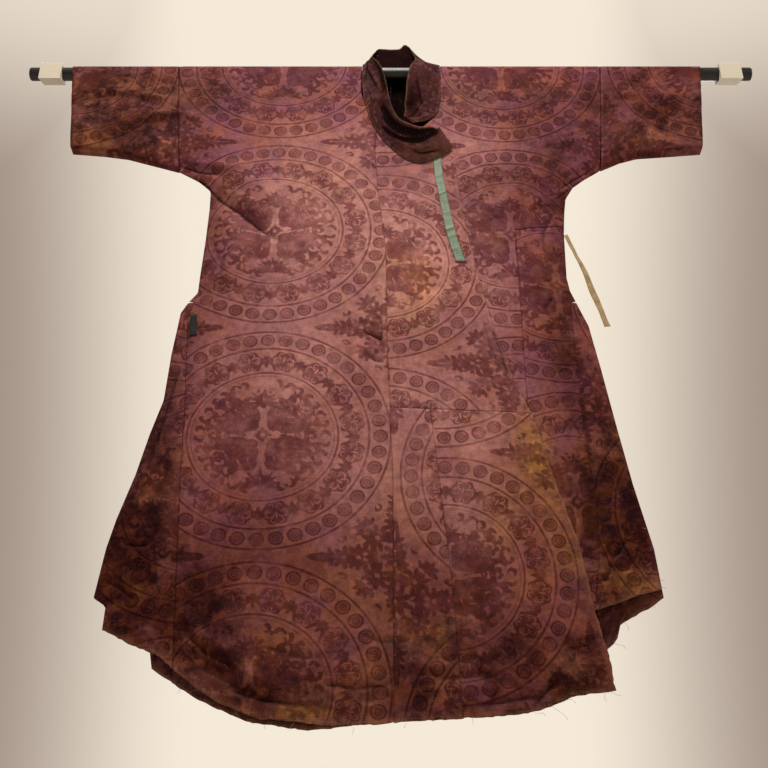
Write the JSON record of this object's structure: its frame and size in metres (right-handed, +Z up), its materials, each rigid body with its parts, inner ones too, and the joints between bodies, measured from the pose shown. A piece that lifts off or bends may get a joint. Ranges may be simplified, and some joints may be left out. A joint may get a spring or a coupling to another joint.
{
  "type": "silk twill robe on a display rod with wall hooks",
  "caption": "Patterned silk robe with short sleeves, slanted front overlap, flared skirt and stand collar, hung flat on a black rod in two white wall hooks.",
  "frame": {"origin": "middle of the rod's axis, where the rod holds the robe up", "axes": "+X along the rod towards the wearer's left, +Y from the robe's front towards the wall, +Z up"},
  "size_m": [1.517, 0.0497, 1.4635],
  "materials": {
    "silk_twill": "worn silk twill in faded mauve with darker roundels, soft sheen, stains and frayed edges",
    "green_silk": "pale grey-green silk, creased across",
    "ochre_silk": "tan silk, slightly shiny",
    "dark_silk": "blue-black silk, worn",
    "rod_black": "glossy black paint",
    "hook_white": "matt white paint"
  },
  "bodies": {
    "root": {"rod": "rod_black", "hook_right": "hook_white", "hook_left": "hook_white", "front_right_body": "silk_twill", "front_right_gore": "silk_twill", "overlap_upper": "silk_twill", "overlap_strip": "silk_twill", "overlap_lower": "silk_twill", "front_left_body": "silk_twill", "front_left_side": "silk_twill", "front_left_gore": "silk_twill", "back_right_body": "silk_twill", "back_left_body": "silk_twill", "back_right_gore": "silk_twill", "back_left_gore": "silk_twill", "sleeve_right": "silk_twill", "sleeve_left": "silk_twill", "collar": "silk_twill", "neck_tie": "green_silk", "loop_tab": "dark_silk", "side_tie": "ochre_silk"}
  },
  "joints": []
}
